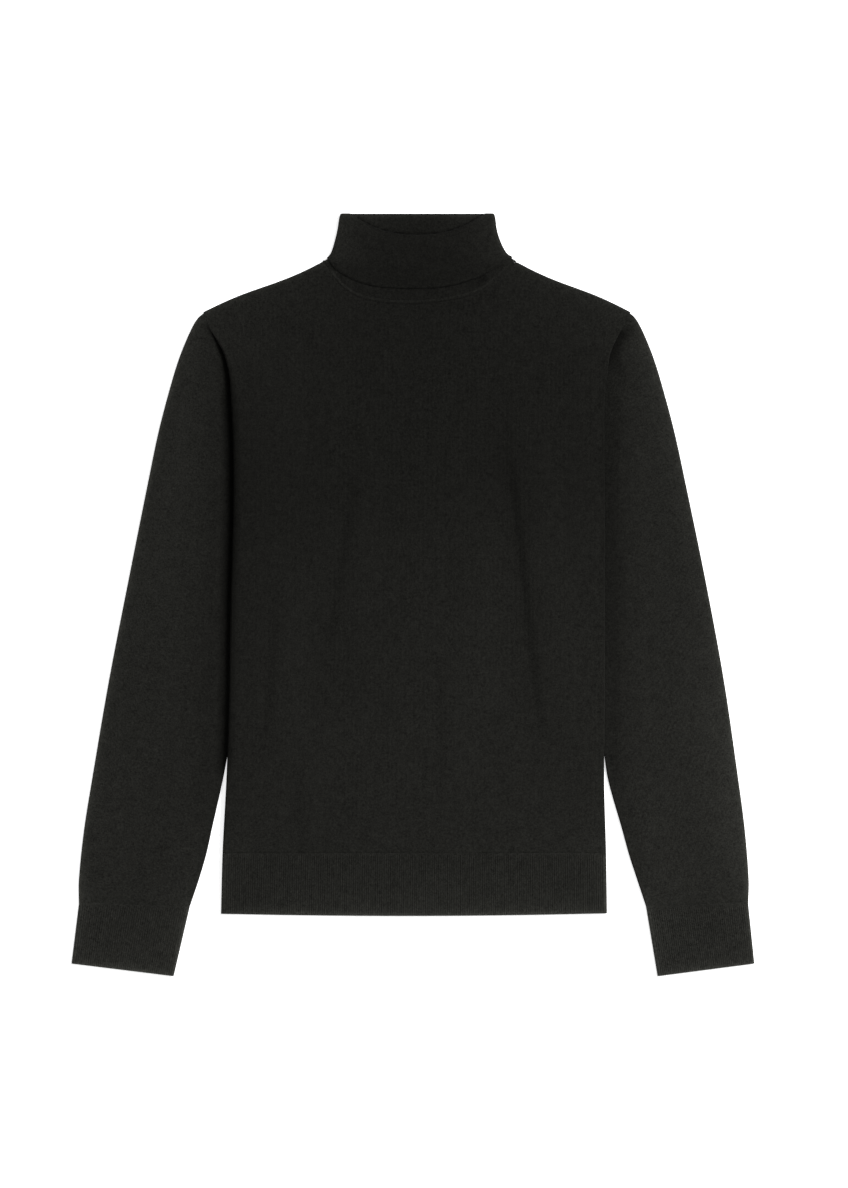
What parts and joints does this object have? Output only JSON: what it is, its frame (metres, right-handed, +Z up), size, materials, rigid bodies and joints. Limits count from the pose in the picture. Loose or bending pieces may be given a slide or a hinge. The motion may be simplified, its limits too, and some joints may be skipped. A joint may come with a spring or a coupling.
{
  "type": "turtleneck sweater",
  "caption": "Long-sleeved fine-knit sweater laid out flat, with a turned-down turtleneck collar, ribbed cuffs and a ribbed hem.",
  "frame": {"origin": "on the surface that the sweater lies on, under the middle of its whole outline", "axes": "+Z up from the surface, +Y towards the collar, +X towards the sleeve on the right of the picture"},
  "size_m": [0.714, 0.7966, 0.0079],
  "materials": {
    "jersey_knit": "black fine-gauge jersey knit, matt and slightly fuzzy",
    "rib_knit": "black fine rib knit, matt and slightly fuzzy"
  },
  "bodies": {
    "root": {"back": "jersey_knit", "front": "jersey_knit", "hem_back": "rib_knit", "hem_front": "rib_knit", "sleeve_left": "jersey_knit", "sleeve_right": "jersey_knit", "cuff_left": "rib_knit", "cuff_right": "rib_knit", "collar": "jersey_knit"}
  },
  "joints": []
}
